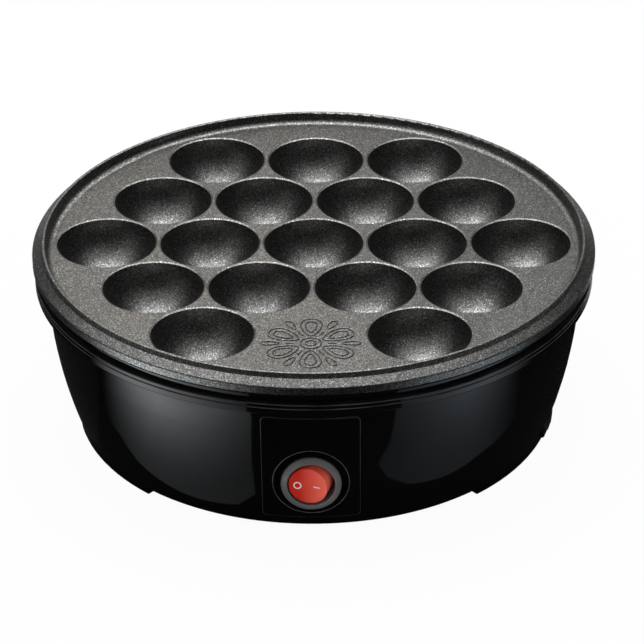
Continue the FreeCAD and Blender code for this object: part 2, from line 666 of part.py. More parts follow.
def switch_panel():
    """The panel let into the wall, with the sunk pocket that carries the switch."""
    corner = PANEL_CORNER - PANEL_GAP
    skin = front_band(0, PANEL_THICKNESS - PANEL_GAP / 2).common(panel_window(PANEL_GAP, corner))
    cup = pocket_cone(POCKET_WALL, SEAT_PLANE - POCKET_WALL)
    cup = cup.common(front_band(PANEL_THICKNESS / 2, PANEL_ROOM))
    cup = cup.common(panel_window(PANEL_LEDGE + PANEL_GAP, corner))
    bore = disc(BARREL_RADIUS + SCREW_CLEARANCE, -POCKET_WALL - OVERSHOOT, OVERSHOOT)
    hole = facing_front(bore, SWITCH_HEIGHT, SEAT_PLANE)
    panel = skin.fuse(cup).cut([pocket_cone(0, SEAT_PLANE), hole])
    return panel.makeFillet(PANEL_ROUNDING, panel_edges(panel))


# ---- switch ------------------------------------------------------------------------------


def switch_body():
    """Bezel and barrel of the round rocker switch, with the bore that the rocker works in."""
    shell = turned(
        [
            (0, -BARREL_LENGTH),
            (BARREL_RADIUS, -BARREL_LENGTH, SWITCH_ROUNDING),
            (BARREL_RADIUS, 0),
            (BEZEL_RADIUS, 0),
            (BEZEL_RADIUS, BEZEL_EDGE, SWITCH_ROUNDING),
            (SWITCH_BORE_RADIUS + SWITCH_ROUNDING, BEZEL_HEIGHT, BEZEL_INNER_ROUNDING),
            (SWITCH_BORE_RADIUS, BEZEL_HEIGHT - BEZEL_INNER_ROUNDING),
            (SWITCH_BORE_RADIUS, -SWITCH_BORE_DEPTH),
            (0, -SWITCH_BORE_DEPTH),
        ]
    )
    latch_top = -POCKET_WALL - LATCH_GAP
    latch_root = BARREL_RADIUS - LATCH_ROOT
    latch = outline(
        [
            (latch_root, latch_top),
            (BARREL_RADIUS + LATCH_REACH, latch_top),
            (latch_root, latch_top - LATCH_LENGTH),
        ]
    ).extrude(Vector(0, LATCH_WIDTH, 0))
    latches = []
    for angle in (0, 180):
        wedge = latch.translated(Vector(0, -LATCH_WIDTH / 2, 0))
        wedge.rotate(ORIGIN, UP, angle)
        latches.append(wedge)
    reach = BARREL_RADIUS + OVERSHOOT
    hinge_start = Vector(0, -reach, -PIVOT_DEPTH)
    hinge = Part.makeCylinder(PIVOT_RADIUS + PIVOT_CLEARANCE, 2 * reach, hinge_start, Vector(0, 1, 0))
    return facing_front(joined([shell] + latches).cut(hinge), SWITCH_HEIGHT, SEAT_PLANE)


def rocker():
    """The rocker in its resting pose, its left side pressed in."""
    depth = ROCKER_BACK + ROCKER_FRONT
    button = Part.makeCone(ROCKER_BACK_RADIUS, ROCKER_FACE_RADIUS, depth, Vector(0, 0, -ROCKER_BACK))
    hollow_low = ROCKER_FRONT - ROCKER_DISH_DEPTH
    hollow_start = Vector(0, -ROCKER_BACK_RADIUS, hollow_low + ROCKER_DISH_RADIUS)
    hollow = Part.makeCylinder(ROCKER_DISH_RADIUS, 2 * ROCKER_BACK_RADIUS, hollow_start, Vector(0, 1, 0))
    button = button.cut(hollow)
    rim = [edge for edge in button.Edges if edge.BoundBox.ZMin > hollow_low / 2]
    button = button.makeFillet(ROCKER_ROUNDING, rim)
    axle_reach = BARREL_RADIUS - CLEARANCE
    axle = Part.makeCylinder(PIVOT_RADIUS, 2 * axle_reach, Vector(0, -axle_reach, 0), Vector(0, 1, 0))
    solid = button.fuse(axle)
    solid.rotate(ORIGIN, Vector(0, 1, 0), -ROCKER_TILT)
    solid.translate(Vector(0, 0, -PIVOT_DEPTH))
    return facing_front(solid, SWITCH_HEIGHT, SEAT_PLANE)


def terminal_points():
    """The far ends of the switch's three blades."""
    plane = SEAT_PLANE - BARREL_LENGTH - TERMINAL_LENGTH
    return [Vector(step * TERMINAL_PITCH, -plane, SWITCH_HEIGHT) for step in (-1, 0, 1)]


def switch_terminals():
    blades = []
    for point in terminal_points():
        blade = block(
            (point.x - TERMINAL_THICKNESS / 2, point.x + TERMINAL_THICKNESS / 2),
            (point.y - TERMINAL_LENGTH, point.y),
            (point.z - TERMINAL_WIDTH / 2, point.z + TERMINAL_WIDTH / 2),
        )
        blades.append(blade)
    return Part.makeCompound(blades)


# ---- heating -----------------------------------------------------------------------------


def heater_leg_points():
    """Where the element's two ends run down, each side of the back."""
    points = []
    for side in (-1, 1):
        angle = 90 + side * HEATER_OPENING
        start = polar(HEATER_RADIUS, angle)
        along = polar(HEATER_BEND, angle - side * 90)
        points.append(start + along)
    return points


def heating_element():
    """The tubular element: nearly a full ring, with both ends turned down through the dish."""
    right, left = (90 - HEATER_OPENING, 90 + HEATER_OPENING)
    ring = Part.Arc(
        polar(HEATER_RADIUS, left, HEATER_HEIGHT),
        polar(HEATER_RADIUS, 270, HEATER_HEIGHT),
        polar(HEATER_RADIUS, right, HEATER_HEIGHT),
    ).toShape()
    drop = Vector(0, 0, HEATER_HEIGHT - HEATER_BEND)
    left_leg, right_leg = (leg + drop for leg in reversed(heater_leg_points()))
    edges = []
    for leg, angle in ((left_leg, left), (right_leg, right)):
        ring_end = polar(HEATER_RADIUS, angle, HEATER_HEIGHT)
        outward = (leg + Vector(0, 0, HEATER_BEND) - ring_end).normalize()
        centre = ring_end - Vector(0, 0, HEATER_BEND)
        middle = centre + (outward + UP).normalize() * HEATER_BEND
        bend = Part.Arc(ring_end, middle, leg).toShape()
        drop = Part.LineSegment(leg, Vector(leg.x, leg.y, HEATER_LEG_END)).toShape()
        edges.append((bend, drop))
    (left_bend, left_drop), (right_bend, right_drop) = edges
    path = Part.Wire(Part.__sortEdges__([left_drop, left_bend, ring, right_bend, right_drop]))
    start = Vector(left_leg.x, left_leg.y, HEATER_LEG_END)
    section = Part.Wire(Part.makeCircle(HEATER_TUBE_RADIUS, start, UP))
    return path.makePipeShell([section], True, True)


def heater_pins():
    pins = [
        disc(HEATER_PIN_RADIUS, HEATER_LEG_END - HEATER_PIN_LENGTH, HEATER_LEG_END, (leg.x, leg.y))
        for leg in heater_leg_points()
    ]
    return Part.makeCompound(pins)


def heater_insulators():
    """Flanged ceramic bushes that carry the element's ends through the dish."""
    inner = HEATER_TUBE_RADIUS + PIVOT_CLEARANCE
    neck = inner + BUSH_WALL
    flange = neck + BUSH_FLANGE
    flange_top = DISH_FLOOR_TOP + BUSH_FLANGE_HEIGHT
    bush = turned(
        [
            (inner, DISH_FLOOR_HEIGHT - BUSH_DEPTH),
            (neck, DISH_FLOOR_HEIGHT - BUSH_DEPTH),
            (neck, DISH_FLOOR_TOP),
            (flange, DISH_FLOOR_TOP),
            (flange, flange_top, BUSH_ROUNDING),
            (inner, flange_top),
        ]
    )
    return Part.makeCompound([bush.translated(leg) for leg in heater_leg_points()])


def hanger(angle):
    """A pressed bracket: an upright leaf that the element passes through, on a screwed foot."""
    half = HANGER_WIDTH / 2
    side = HANGER_THICKNESS / 2
    rise = HEATER_HEIGHT - DISH_FLOOR_TOP
    top = rise + HEATER_TUBE_RADIUS - HANGER_MOUTH
    profile = outline([(-half, 0), (half, 0), (half, top, HANGER_ROUNDING), (-half, top, HANGER_ROUNDING)])
    leaf = profile.extrude(Vector(0, HANGER_THICKNESS, 0)).translated(Vector(0, -side, 0))
    base = block((-half, half), (-side, HANGER_FOOT), (0, HANGER_THICKNESS))
    bore_start = Vector(0, -side - OVERSHOOT, rise)
    bore_length = HANGER_THICKNESS + 2 * OVERSHOOT
    bore = Part.makeCylinder(HEATER_TUBE_RADIUS + PIVOT_CLEARANCE, bore_length, bore_start, Vector(0, 1, 0))
    pilot = disc(SCREW_RADIUS + SCREW_CLEARANCE, 0, HANGER_THICKNESS, (0, HANGER_SCREW_OFFSET))
    solid = leaf.fuse(base).cut([bore, pilot]).removeSplitter()
    solid.translate(Vector(HEATER_RADIUS, 0, DISH_FLOOR_TOP))
    solid.rotate(ORIGIN, UP, angle)
    return solid


def hanger_screw_points():
    seat = DISH_FLOOR_TOP + HANGER_THICKNESS
    return [
        polar(HEATER_RADIUS, angle, seat) + polar(HANGER_SCREW_OFFSET, angle + 90)
        for angle in HANGER_ANGLES
    ]


def reflector_dish():
    """The pressed dish under the element; its flange lies on the ring's ledge."""
    flange_top = LEDGE_HEIGHT + DISH_THICKNESS
    t = DISH_THICKNESS
    solid = turned(
        [
            (0, DISH_FLOOR_HEIGHT),
            (DISH_FLOOR_RADIUS + t, DISH_FLOOR_HEIGHT, DISH_ROUNDING + t),
            (DISH_WAIST_RADIUS + t, DISH_WAIST_HEIGHT),
            (DISH_THROAT_RADIUS + t, LEDGE_HEIGHT),
            (DISH_FLANGE_RADIUS, LEDGE_HEIGHT),
            (DISH_FLANGE_RADIUS, flange_top),
            (DISH_THROAT_RADIUS, flange_top),
            (DISH_WAIST_RADIUS, DISH_WAIST_HEIGHT + t / 2),
            (DISH_FLOOR_RADIUS, DISH_FLOOR_TOP, DISH_ROUNDING),
            (0, DISH_FLOOR_TOP),
        ]
    )
    bush_hole = HEATER_TUBE_RADIUS + BUSH_WALL + 2 * PIVOT_CLEARANCE
    holes = [disc(bush_hole, 0, HEATER_HEIGHT, (leg.x, leg.y)) for leg in heater_leg_points()]
    for point in dish_screw_points():
        holes.append(disc(SCREW_RADIUS + SCREW_CLEARANCE, 0, HEATER_HEIGHT, (point.x, point.y)))
    for point in hanger_screw_points() + strip_screw_points():
        holes.append(disc(SCREW_RADIUS, 0, HEATER_HEIGHT, (point.x, point.y)))
    holes.append(disc(THERMOSTAT_RADIUS - THERMOSTAT_HOLE_INSET, 0, HEATER_HEIGHT))
    return solid.cut(holes)


# ---- thermostat, fuse, terminal block ----------------------------------------------------


def thermostat():
    """The snap-disc thermostat, its cap just under the foot of the middle well."""
    top = WELL_FOOT_HEIGHT - CLEARANCE
    bottom = top - THERMOSTAT_HEIGHT
    collar = top - THERMOSTAT_CAP_HEIGHT
    case = turned(
        [
            (0, bottom),
            (THERMOSTAT_RADIUS - THERMOSTAT_CAP_REACH, bottom),
            (THERMOSTAT_RADIUS - THERMOSTAT_CAP_REACH, collar),
            (THERMOSTAT_RADIUS, collar),
            (THERMOSTAT_RADIUS, top, THERMOSTAT_ROUNDING),
            (0, top),
        ]
    )
    half_thickness = THERMOSTAT_TAB_THICKNESS / 2
    half_width = THERMOSTAT_TAB_WIDTH / 2
    tab = block(
        (-half_thickness, half_thickness),
        (-half_width, half_width),
        (bottom - THERMOSTAT_TAB_LENGTH, bottom),
    )
    tabs = [tab.translated(Vector(0, side * THERMOSTAT_TAB_OFFSET, 0)) for side in (-1, 1)]
    return joined([case] + tabs)


def strip_screw_points():
    reach = SPRING_STRIP_REACH - SPRING_STRIP_SCREW_INSET
    return [Vector(0, side * reach, DISH_FLOOR_TOP + SPRING_STRIP_THICKNESS) for side in (-1, 1)]


def thermostat_spring():
    """The bowed steel strip that presses the thermostat up; its ends are screwed to the dish."""
    low = DISH_FLOOR_TOP
    high = WELL_FOOT_HEIGHT - CLEARANCE - THERMOSTAT_HEIGHT
    t = SPRING_STRIP_THICKNESS
    reach = SPRING_STRIP_REACH
    foot_end = SPRING_STRIP_REACH - SPRING_STRIP_FOOT
    flat_end = THERMOSTAT_RADIUS + SPRING_STRIP_MARGIN
    bend = SPRING_STRIP_BEND
    profile = outline(
        [
            (-reach, low),
            (-foot_end, low, bend),
            (-flat_end, high - t, bend),
            (flat_end, high - t, bend),
            (foot_end, low, bend),
            (reach, low),
            (reach, low + t),
            (foot_end, low + t, bend),
            (flat_end, high, bend),
            (-flat_end, high, bend),
            (-foot_end, low + t, bend),
            (-reach, low + t),
        ]
    )
    strip = profile.extrude(Vector(0, SPRING_STRIP_WIDTH, 0))
    strip.translate(Vector(0, -SPRING_STRIP_WIDTH / 2, 0))
    strip.rotate(ORIGIN, UP, 90)
    half_x, half_y = SPRING_WINDOW[0] / 2, SPRING_WINDOW[1] / 2
    window = block((-half_x, half_x), (-half_y, half_y), (high - t - OVERSHOOT, high + OVERSHOOT))
    hole_radius = SCREW_RADIUS + SCREW_CLEARANCE
    cuts = [disc(hole_radius, 0, HEATER_HEIGHT, (p.x, p.y)) for p in strip_screw_points()]
    return strip.cut(cuts + [window])


def thermal_fuse():
    """The fuse in its sleeve, under the dish."""
    x, y = FUSE_CENTRE
    centre_height = DISH_FLOOR_HEIGHT - FUSE_RADIUS - FUSE_GAP
    start = Vector(x - FUSE_LENGTH / 2, y, centre_height)
    return Part.makeCylinder(FUSE_RADIUS, FUSE_LENGTH, start, Vector(1, 0, 0))


def fuse_clip():
    """The saddle that holds the fuse against the underside of the dish."""
    x, y = FUSE_CENTRE
    top = DISH_FLOOR_HEIGHT
    inner = FUSE_RADIUS + CLIP_GAP
    outer = inner + CLIP_THICKNESS
    centre_height = top - FUSE_RADIUS - FUSE_GAP
    along = (x - CLIP_LENGTH / 2, x + CLIP_LENGTH / 2)
    loop = Part.makeCylinder(outer, CLIP_LENGTH, Vector(along[0], y, centre_height), Vector(1, 0, 0))
    sides = block(along, (y - outer, y + outer), (centre_height, top))
    wing = block(along, (y + inner, y + inner + CLIP_WING), (top - CLIP_THICKNESS, top))
    bore = Part.makeCylinder(inner, CLIP_LENGTH, Vector(along[0], y, centre_height), Vector(1, 0, 0))
    room = block(along, (y - inner, y + inner), (centre_height, top + OVERSHOOT))
    return joined([loop, sides, wing]).cut([bore, room])


def block_screw_centres():
    x, y = BLOCK_CENTRE
    return [(x + side * BLOCK_SIZE[0] / 4, y) for side in (-1, 1)]


def terminal_block():
    """The two-way block where the supply cord's cores end."""
    x, y = BLOCK_CENTRE
    length, depth, height = BLOCK_SIZE
    along = (x - length / 2, x + length / 2)
    top = COVER_TOP + height
    shoulder = (COVER_TOP + BLOCK_SHOULDER_HEIGHT, top)
    body = block(along, (y - depth / 2, y + depth / 2), (COVER_TOP, top))
    cuts = [
        block(along, (y - depth / 2, y - depth / 4), shoulder),
        block(along, (y + depth / 4, y + depth / 2), shoulder),
    ]
    for centre in block_screw_centres():
        cuts.append(disc(BLOCK_WELL_RADIUS, top - BLOCK_WELL_DEPTH, top, centre))
    return body.cut(cuts)


def block_screws():
    seat = COVER_TOP + BLOCK_SIZE[2] - BLOCK_WELL_DEPTH
    top = seat + BLOCK_SCREW_HEIGHT
    half_slot = BLOCK_SCREW_SLOT / 2
    heads = []
    for x, y in block_screw_centres():
        head = disc(BLOCK_SCREW_RADIUS, seat, top, (x, y))
        across = (x - BLOCK_SCREW_RADIUS, x + BLOCK_SCREW_RADIUS)
        slot = block(across, (y - half_slot, y + half_slot), (top - BLOCK_SCREW_SLOT, top))
        heads.append(head.cut(slot))
    return Part.makeCompound(heads)


def cord_gland():
    """The bush that lines the cord's outlet in the wall."""
    seat = -GLAND_RECESS
    face = seat + GLAND_FLANGE_THICKNESS
    bead = -GLAND_BOSS_DEPTH
    end = bead - GLAND_BEAD_LENGTH
    bush = turned(
        [
            (GLAND_BORE_RADIUS, end),
            (GLAND_BEAD_RADIUS, end, GLAND_ROUNDING),
            (GLAND_BEAD_RADIUS, bead),
            (GLAND_NECK_RADIUS, bead),
            (GLAND_NECK_RADIUS, seat),
            (GLAND_FLANGE_RADIUS, seat),
            (GLAND_FLANGE_RADIUS, face, GLAND_ROUNDING),
            (GLAND_BORE_RADIUS, face),
        ]
    )
    return gland_axis(bush)


# ---- bottom ------------------------------------------------------------------------------


def bottom_cover():
    """The cover inside the wall's lower edge, with vents and the pillars that carry the dish."""
    radius = wall_radius(COVER_HEIGHT, WALL_THICKNESS) - COVER_GAP
    plate = disc(radius, COVER_HEIGHT, COVER_TOP)
    pillars = [disc(PILLAR_RADIUS, COVER_TOP, DISH_FLOOR_HEIGHT, (p.x, p.y)) for p in dish_screw_points()]
    solid = joined([plate] + pillars)
    notch_inner = FOOT_INNER_RADIUS - COVER_GAP
    notch_sweep = FOOT_SWEEP + 2 * math.degrees(COVER_GAP / notch_inner)
    past_edge = radius + OVERSHOOT
    cuts = [sector(notch_inner, past_edge, 0, COVER_TOP, angle, notch_sweep) for angle in FOOT_ANGLES]
    gland_half = GLAND_BOSS_RADIUS + COVER_GAP
    gland_inner = GLAND_FACE - GLAND_BOSS_DEPTH - GLAND_BEAD_LENGTH - COVER_GAP
    gland_notch = block((gland_inner, past_edge), (-gland_half, gland_half), (0, COVER_TOP))
    gland_notch.rotate(ORIGIN, UP, GLAND_ANGLE)
    cuts.append(gland_notch)
    for point in cover_screw_points():
        cuts.append(disc(SCREW_RADIUS + SCREW_CLEARANCE, 0, COVER_TOP, (point.x, point.y)))
    for point in dish_screw_points():
        bore_bottom = DISH_FLOOR_HEIGHT - SCREW_LENGTH
        cuts.append(disc(SCREW_RADIUS, bore_bottom, DISH_FLOOR_HEIGHT, (point.x, point.y)))
    for side in (-1, 1):
        near, far = side * VENT_OFFSET, side * (VENT_OFFSET + VENT_LENGTH)
        for i in range(VENT_COUNT):
            left = (i - (VENT_COUNT - 1) / 2) * VENT_PITCH - VENT_WIDTH / 2
            cuts.append(block((left, left + VENT_WIDTH), (min(near, far), max(near, far)), (0, COVER_TOP)))
    return solid.cut(cuts)


def dish_screw_points():
    return [polar(PILLAR_CIRCLE, angle, DISH_FLOOR_TOP) for angle in PILLAR_ANGLES]


# ---- wiring ------------------------------------------------------------------------------


def block_entry(x_from_centre):
    """A point on the terminal block's front face, where a lead goes in."""
    x, y = BLOCK_CENTRE
    return Vector(x + x_from_centre, y - BLOCK_SIZE[1] / 2, COVER_TOP + BLOCK_SIZE[2] / 2)


def thermostat_tab(side):
    """The lower end of one of the thermostat's tabs."""
    bottom = WELL_FOOT_HEIGHT - CLEARANCE - THERMOSTAT_HEIGHT - THERMOSTAT_TAB_LENGTH
    return Vector(0, side * THERMOSTAT_TAB_OFFSET, bottom)


def fuse_end(side):
    x, y = FUSE_CENTRE
    return Vector(x + side * FUSE_LENGTH / 2, y, DISH_FLOOR_HEIGHT - FUSE_RADIUS - FUSE_GAP)


def pin_end(index):
    leg = heater_leg_points()[index]
    return Vector(leg.x, leg.y, HEATER_LEG_END - HEATER_PIN_LENGTH)


def supply_lead():
    """Terminal block to the switch."""
    start = block_entry(-BLOCK_SIZE[0] / 4)
    end = terminal_points()[2]
    return tube(
        [
            start,
            start + Vector(0, -15, 0),
            Vector(40, -54, 16),
            end + Vector(0, 15, 0),
            end,
        ],
        LEAD_RADIUS,
        LEAD_BEND,
    )


def switch_lead():
    """Switch to the thermostat, up through the hole in the dish."""
    start = terminal_points()[1]
    end = thermostat_tab(-1)
    return tube(
        [
            start,
            start + Vector(0, 11, 0),
            Vector(8, -40, LEAD_LEVEL),
            Vector(end.x, end.y, LEAD_LEVEL),
            end,
        ],
        LEAD_RADIUS,
        LEAD_BEND,
    )


def lamp_lead():
    """Switch lamp to the terminal block."""
    start = terminal_points()[0]
    end = block_entry(BLOCK_SIZE[0] / 4 - LEAD_SPACING / 2)
    return tube(
        [
            start,
            start + Vector(0, 13, 0),
            Vector(12, -46, COVER_TOP + 2.8),
            end + Vector(-8, -11, -3.2),
            end + Vector(0, -8, 0),
            end,
        ],
        LEAD_RADIUS,
        LEAD_BEND,
    )


def fuse_lead():
    """Thermostat to the thermal fuse."""
    start = thermostat_tab(1)
    end = fuse_end(-1)
    return tube(
        [
            start,
            Vector(start.x, start.y, LEAD_LEVEL + 5),
            Vector(11, 2, LEAD_LEVEL + 5),
            Vector(12, -36, LEAD_LEVEL + 8),
            end + Vector(-7, 0, 0),
            end,
        ],
        LEAD_RADIUS,
        LEAD_BEND,
    )


def heater_lead():
    """Thermal fuse to the element's right-hand pin."""
    start = fuse_end(1)
    end = pin_end(0)
    return tube(
        [
            start,
            start + Vector(11, 0, 0),
            Vector(50, -20, 22),
            Vector(44, 30, 13),
            end + Vector(0, 0, -6),
            end,
        ],
        LEAD_RADIUS,
        LEAD_BEND,
    )


def return_lead():
    """The element's left-hand pin to the terminal block, round the back of the block."""
    start = pin_end(1)
    end = block_entry(BLOCK_SIZE[0] / 4 + LEAD_SPACING / 2)
    return tube(
        [
            start,
            start + Vector(0, 0, -11),
            Vector(40, 66, COVER_TOP + 11),
            Vector(76, 8, COVER_TOP + 11),
            end + Vector(4, 0, 8),
            end + Vector(0, -8, 0),
            end,
        ],
        LEAD_RADIUS,
        LEAD_BEND,
    )


# ---- write one STEP file for each sub-part -----------------------------------------------

PARTS = {
    "cooking_plate": cooking_plate,
    "support_ring": support_ring,
    "housing": housing,
    "foot_pads": lambda: Part.makeCompound([foot_pad(angle) for angle in FOOT_ANGLES]),
    "switch_panel": switch_panel,
    "switch_body": switch_body,
    "rocker": rocker,
    "switch_terminals": switch_terminals,
    "heating_element": heating_element,
    "heater_pins": heater_pins,
    "heater_insulators": heater_insulators,
    "heater_hangers": lambda: Part.makeCompound([hanger(angle) for angle in HANGER_ANGLES]),
    "hanger_screws": lambda: short_screws(hanger_screw_points()),
    "reflector_dish": reflector_dish,
    "dish_screws": lambda: Part.makeCompound([screw(p) for p in dish_screw_points()]),
    "thermostat": thermostat,
    "thermostat_spring": thermostat_spring,
    "spring_screws": lambda: short_screws(strip_screw_points()),
    "thermal_fuse": thermal_fuse,
    "fuse_clip": fuse_clip,
    "terminal_block": terminal_block,
    "block_screws": block_screws,
    "cord_gland": cord_gland,
    "supply_lead": supply_lead,
    "switch_lead": switch_lead,
    "lamp_lead": lamp_lead,
    "fuse_lead": fuse_lead,
    "heater_lead": heater_lead,
    "return_lead": return_lead,
    "bottom_cover": bottom_cover,
    "cover_screws": lambda: Part.makeCompound([screw(p, -UP) for p in cover_screw_points()]),
}

os.makedirs("parts", exist_ok=True)
for name, make in PARTS.items():
    shape = make()
    if not shape.isValid():
        raise ValueError(name + " is not a valid solid")
    shape.exportStep("parts/" + name + ".step")
    print(name, len(shape.Solids), round(shape.Volume, 1))
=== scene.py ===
import json
import math

import bmesh
import bpy
from mathutils import Matrix, Vector


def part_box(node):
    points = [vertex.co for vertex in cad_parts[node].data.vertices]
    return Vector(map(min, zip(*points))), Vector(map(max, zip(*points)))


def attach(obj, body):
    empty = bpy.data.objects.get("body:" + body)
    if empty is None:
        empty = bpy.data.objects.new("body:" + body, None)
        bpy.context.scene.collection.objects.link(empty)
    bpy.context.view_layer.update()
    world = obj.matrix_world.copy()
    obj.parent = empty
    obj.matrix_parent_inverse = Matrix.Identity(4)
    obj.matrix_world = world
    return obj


# The looks of the takoyaki maker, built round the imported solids. Metres, in the row frame:
# +Z up, origin on the table under the plate's centre, front towards -Y.

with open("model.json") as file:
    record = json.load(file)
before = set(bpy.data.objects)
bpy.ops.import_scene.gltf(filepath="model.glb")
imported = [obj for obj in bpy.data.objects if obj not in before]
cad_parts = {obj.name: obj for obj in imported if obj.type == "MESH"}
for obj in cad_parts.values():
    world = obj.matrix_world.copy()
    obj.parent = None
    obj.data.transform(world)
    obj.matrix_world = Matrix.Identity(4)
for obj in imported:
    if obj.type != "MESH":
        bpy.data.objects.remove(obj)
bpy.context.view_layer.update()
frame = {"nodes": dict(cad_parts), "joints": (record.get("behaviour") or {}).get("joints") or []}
solids = frame["nodes"]

MM = 0.001

# ---- places on the part -----------------------------------------------------------------------

rocker_joint = next(joint for joint in frame["joints"] if joint["name"] == "rocker_tilt")
PIVOT = Vector(rocker_joint["pos_m"])
ROCKER_TILT = math.radians(rocker_joint["range_deg"][1] / 2)  # it rests half its swing to the left
PLATE_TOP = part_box("cooking_plate")[1].z
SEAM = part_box("support_ring")[0].z  # where the ring meets the wall's lip
PANEL_LOW, PANEL_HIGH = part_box("switch_panel")

# sizes of the solids that their boxes don't give
RIM_RISE = 4.5 * MM  # the plate's crest above its flat
PANEL_CORNER = 2.2 * MM
ROCKER_FRONT = 6.2 * MM  # from the pivot to the face
ROCKER_DISH_RADIUS = 32.0 * MM  # the face is hollowed by a cylinder
ROCKER_DISH_DEPTH = 0.7 * MM

# ---- node materials ---------------------------------------------------------------------------


class Nodes:
    """Short names for making the nodes of one tree."""

    def __init__(self, tree):
        self.tree = tree

    def feed(self, socket, value):
        """Links another node's output to a socket, or sets a number or colour on it."""
        if isinstance(value, bpy.types.NodeSocket):
            self.tree.links.new(value, socket)
        else:
            socket.default_value = value

    def node(self, kind, inputs=(), **settings):
        node = self.tree.nodes.new("ShaderNode" + kind)
        for key, value in settings.items():
            setattr(node, key, value)
        for key, value in dict(inputs).items():
            self.feed(node.inputs[key], value)
        return node

    def math(self, operation, one, other=0.0):
        return self.node("Math", {0: one, 1: other}, operation=operation).outputs[0]

    def product(self, first, *others):
        for other in others:
            first = self.math("MULTIPLY", first, other)
        return first

    def blend(self, factor, low, high):
        return self.node("Mix", {0: factor, 2: low, 3: high}).outputs[0]

    def fade(self, value, start, end, low, high, kind="SMOOTHSTEP"):
        """Goes from low to high while the value goes from start to end."""
        inputs = {"Value": value, "From Min": start, "From Max": end, "To Min": low, "To Max": high}
        return self.node("MapRange", inputs, interpolation_type=kind).outputs["Result"]

    def band(self, value, rise_start, rise_end, fall_start, fall_end):
        """Rises from nothing to one over the first two values, and falls back over the last two."""
        rise = self.fade(value, rise_start, rise_end, 0.0, 1.0)
        return self.product(rise, self.fade(value, fall_start, fall_end, 1.0, 0.0))

    def parts(self, vector):
        return self.node("SeparateXYZ", {0: vector}).outputs

    def length(self, vector):
        return self.node("VectorMath", {0: vector}, operation="LENGTH").outputs["Value"]

    def along(self, vector, direction):
        inputs = {0: vector, 1: direction}
        return self.node("VectorMath", inputs, operation="DOT_PRODUCT").outputs["Value"]


class Surface(Nodes):
    """A Principled material with short names for the textures that drive it."""

    def __init__(self, name, **sockets):
        self.material = bpy.data.materials.new(name)
        self.material.use_nodes = True
        super().__init__(self.material.node_tree)
        self.shader = self.tree.nodes["Principled BSDF"]
        self.place = self.node("TexCoord").outputs["Object"]
        for socket, value in sockets.items():
            self.shader.inputs[socket.replace("_", " ")].default_value = value

    def link(self, output, socket):
        self.tree.links.new(output, self.shader.inputs[socket])

    def noise(self, per_metre, detail=2.0, roughness=0.5, place=None):
        inputs = {"Vector": place or self.place, "Scale": per_metre, "Detail": detail, "Roughness": roughness}
        return self.node("TexNoise", inputs).outputs["Fac"]

    def cells(self, per_metre, output="Color"):
        inputs = {"Vector": self.place, "Scale": per_metre}
        return self.node("TexVoronoi", inputs, feature="F1").outputs[output]

    def stretched(self, x, y, z):
        return self.node("Mapping", {"Vector": self.place, "Scale": (x, y, z)}).outputs["Vector"]

    def ramp(self, factor, *stops):
        node = self.node("ValToRGB", {"Fac": factor})
        elements = node.color_ramp.elements
        while len(elements) < len(stops):
            elements.new(0.5)
        for element, (position, colour) in zip(elements, stops):
            element.position = position
            element.color = (*colour, 1.0)
        return node.outputs["Color"]

    def levels(self, factor, low, high, start=0.3, end=0.7):
        return self.fade(factor, start, end, low, high, "LINEAR")

    def mix(self, factor, one, other, blend="MIX"):
        one, other = (c if isinstance(c, bpy.types.NodeSocket) else (*c, 1.0) for c in (one, other))
        inputs = {0: factor, 6: one, 7: other}
        return self.node("Mix", inputs, data_type="RGBA", blend_type=blend).outputs[2]

    def bump(self, height, distance, strength, under=None):
        inputs = {"Height": height, "Distance": distance, "Strength": strength}
        if under:
            inputs["Normal"] = under
        return self.node("Bump", inputs).outputs["Normal"]


def grey(level):
    return (level, level, level)


def nonstick():
    """Speckled metallic non-stick coating on a cast plate."""
    look = Surface("nonstick", Metallic=1.0)
    flecks = look.ramp(
        look.cells(3000.0),
        (0.0, (0.06, 0.0595, 0.0575)),
        (0.55, (0.175, 0.1745, 0.169)),
        (0.84, (0.37, 0.369, 0.36)),
        (1.0, (0.93, 0.93, 0.91)),
    )
    clouds = look.levels(look.noise(22.0, 3.0), 0.9, 1.08)
    tint = look.node("CombineColor", {"Red": clouds, "Green": clouds, "Blue": clouds}).outputs["Color"]
    look.link(look.mix(1.0, flecks, tint, "MULTIPLY"), "Base Color")
    look.link(look.levels(look.noise(2600.0, 1.0), 0.27, 0.43), "Roughness")
    swell = look.bump(look.noise(900.0, 2.0), 0.03 * MM, 0.3)
    look.link(look.bump(look.cells(3200.0), 0.02 * MM, 0.55, swell), "Normal")
    return look.material


def gloss_surface(name, level):
    """High-gloss moulding with the faintest waviness and hairline scuffs, still without its colour."""
    look = Surface(name, Specular_IOR_Level=level)
    scuffs = look.noise(1.0, 3.0, 0.6, look.stretched(1800.0, 1800.0, 120.0))
    look.link(look.levels(scuffs, 0.045, 0.10, 0.35, 0.8), "Roughness")
    look.link(look.bump(look.noise(38.0, 1.0), 0.35 * MM, 0.05), "Normal")
    return look


def black_with_painted_highlight(look, painted_highlight, shade):
    """Colours a gloss surface black, with a painted highlight: paler in patches where the factor is high."""
    black = look.ramp(look.noise(14.0, 2.0), (0.3, (0.0015, 0.0015, 0.0016)), (0.7, (0.0024, 0.0024, 0.0026)))
    patchy_highlight = look.product(painted_highlight, look.levels(look.noise(70.0, 2.0), 0.25, 1.0))
    look.link(look.mix(patchy_highlight, black, grey(shade)), "Base Color")
    return look.material


def black_with_highlight_line(name, edge):
    """Gloss black with a painted highlight: a paler line round it at the given height, where a rounded edge
    would catch the light.
    """
    look = gloss_surface(name, 0.35)
    off_highlight_line = look.math("ABSOLUTE", look.math("SUBTRACT", look.parts(look.place)["Z"], edge))
    return black_with_painted_highlight(look, look.levels(off_highlight_line, 1.0, 0.0, 0.08 * MM, 0.24 * MM), 0.05)


